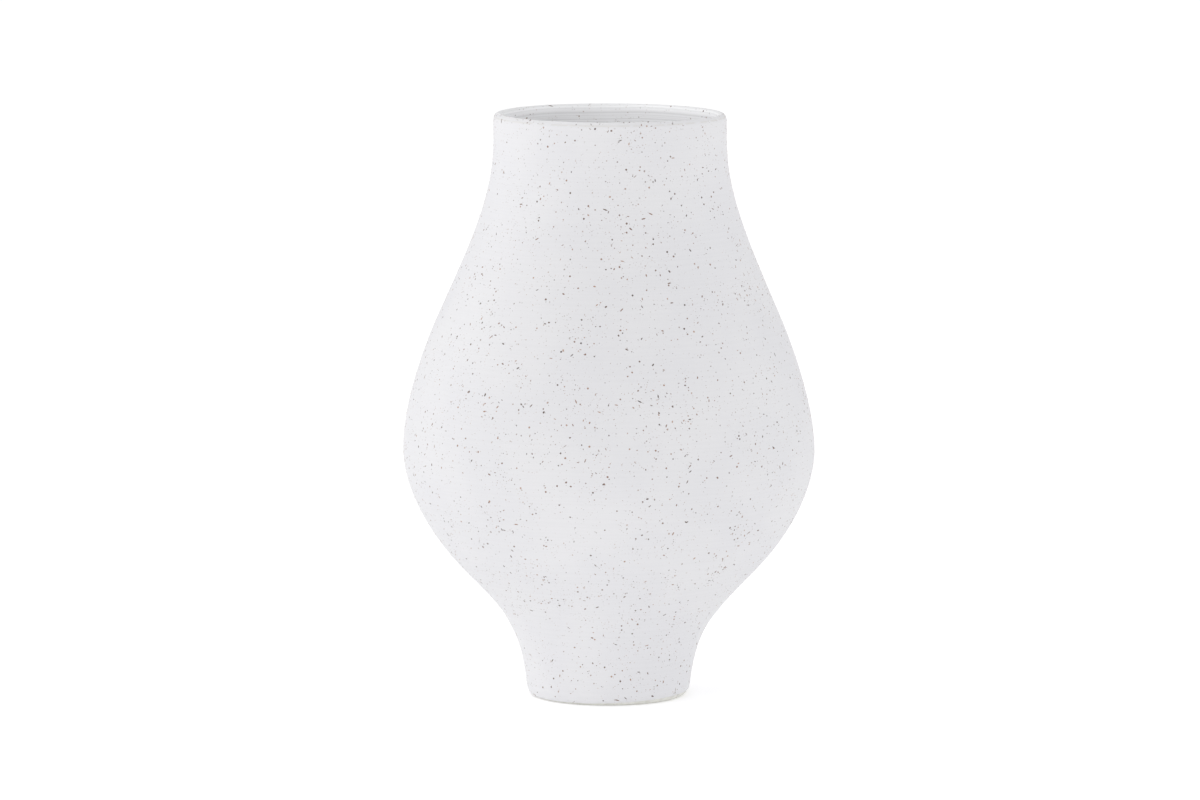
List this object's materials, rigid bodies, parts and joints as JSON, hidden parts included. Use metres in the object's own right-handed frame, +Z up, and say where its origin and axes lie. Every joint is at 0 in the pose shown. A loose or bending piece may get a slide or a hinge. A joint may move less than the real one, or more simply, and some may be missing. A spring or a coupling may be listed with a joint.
{
  "type": "vase",
  "caption": "Wide-mouthed ceramic table vase with a full low belly, a waisted turned foot, a rounded lip and a matt white speckled glaze.",
  "frame": {"origin": "centre of the circle that the foot stands on, at table height", "axes": "+Z up along the vase's axis of revolution; X and Y are level and equal, with +X to the right and +Y away from the viewer"},
  "size_m": [0.1758, 0.1758, 0.25],
  "materials": {
    "bare_stoneware": "matte",
    "white_glaze": "matte",
    "liner_glaze": "satin"
  },
  "bodies": {
    "root": {"clay_body": "bare_stoneware", "outer_glaze": "white_glaze", "liner_glaze": "liner_glaze"}
  },
  "joints": []
}
